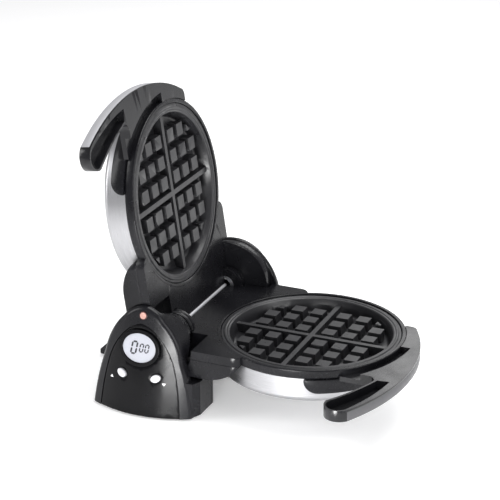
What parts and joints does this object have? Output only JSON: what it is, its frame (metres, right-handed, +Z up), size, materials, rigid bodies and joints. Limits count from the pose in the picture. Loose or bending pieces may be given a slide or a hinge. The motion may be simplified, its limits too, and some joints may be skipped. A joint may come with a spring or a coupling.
{
  "type": "waffle maker",
  "caption": "Flip-over round waffle maker standing open on a base with two hinge towers, a timer panel and hooked side handles.",
  "frame": {"origin": "on the table, straight below the hinge line, on the face of the middle rubber foot", "axes": "+Z up, +X from the hinge towards the handle of the closed body, -Y the side of the timer tower"},
  "size_m": [0.3971, 0.2915, 0.3479],
  "materials": {
    "black_plastic": "satin black moulded plastic",
    "panel_black": "gloss black plastic",
    "steel": "brushed",
    "cast": "non-stick coated casting",
    "trim": "silver grey",
    "zinc": "zinc plated",
    "heater": "heat darkened",
    "bush": "natural acetal",
    "rubber": "matte",
    "board": "circuit board",
    "lcd": "clear",
    "lcd_module": "pale grey",
    "button": "white",
    "lens": "milky",
    "ring": "dark red",
    "small_black": "matte"
  },
  "bodies": {
    "base": {"base_frame": "black_plastic", "front_tower": "black_plastic", "rear_tower": "black_plastic", "rear_cover": "black_plastic", "control_panel": "panel_black", "display_bezel": "panel_black", "display_window": "lcd", "display_module": "lcd_module", "indicator_ring": "ring", "indicator_lens": "lens", "indicator_lamp": "lens", "timer_board": "board", "switch_board": "board", "tact_switches": "small_black", "buzzer": "small_black", "terminal_block": "bush", "front_bush": "bush", "rear_bush": "bush", "base_plate": "zinc", "base_screws": "zinc", "cover_screws": "zinc", "rubber_feet": "rubber", "cord_gland": "rubber"},
    "lower_half": {"lower_frame": "black_plastic", "lower_neck_cover": "black_plastic", "lower_pan": "steel", "lower_grid": "cast", "lower_heater": "heater", "lower_thermostat": "bush", "lower_heat_shield": "zinc", "lower_handle": "black_plastic", "lower_handle_trim": "trim", "lower_finger_guard": "black_plastic", "lower_screws": "zinc", "front_shaft": "zinc", "rear_shaft": "zinc"},
    "upper_half": {"upper_frame": "black_plastic", "upper_neck_cover": "black_plastic", "upper_pan": "steel", "upper_grid": "cast", "upper_heater": "heater", "upper_thermostat": "bush", "upper_heat_shield": "zinc", "upper_handle": "black_plastic", "upper_handle_trim": "trim", "upper_finger_guard": "black_plastic", "upper_screws": "zinc", "hinge_strip": "trim"},
    "button_left": {"timer_button_left": "button"},
    "button_right": {"timer_button_right": "button"}
  },
  "joints": [
    {"name": "flip", "type": "hinge", "parent": "base", "child": "lower_half", "pos_m": [0, 0, 0.076], "axis": [0, -1, 0], "range_deg": [0, 90]},
    {"name": "lid", "type": "hinge", "parent": "lower_half", "child": "upper_half", "pos_m": [0, 0, 0.076], "axis": [0, -1, 0], "range_deg": [-98.7, 0]},
    {"name": "left_button_press", "type": "slide", "parent": "base", "child": "button_left", "axis": [0.1668, 0.9668, -0.1934], "range_m": [0, 0.0012], "stiffness_N_per_m": 400},
    {"name": "right_button_press", "type": "slide", "parent": "base", "child": "button_right", "axis": [-0.1668, 0.9668, -0.1934], "range_m": [0, 0.0012], "stiffness_N_per_m": 400}
  ]
}
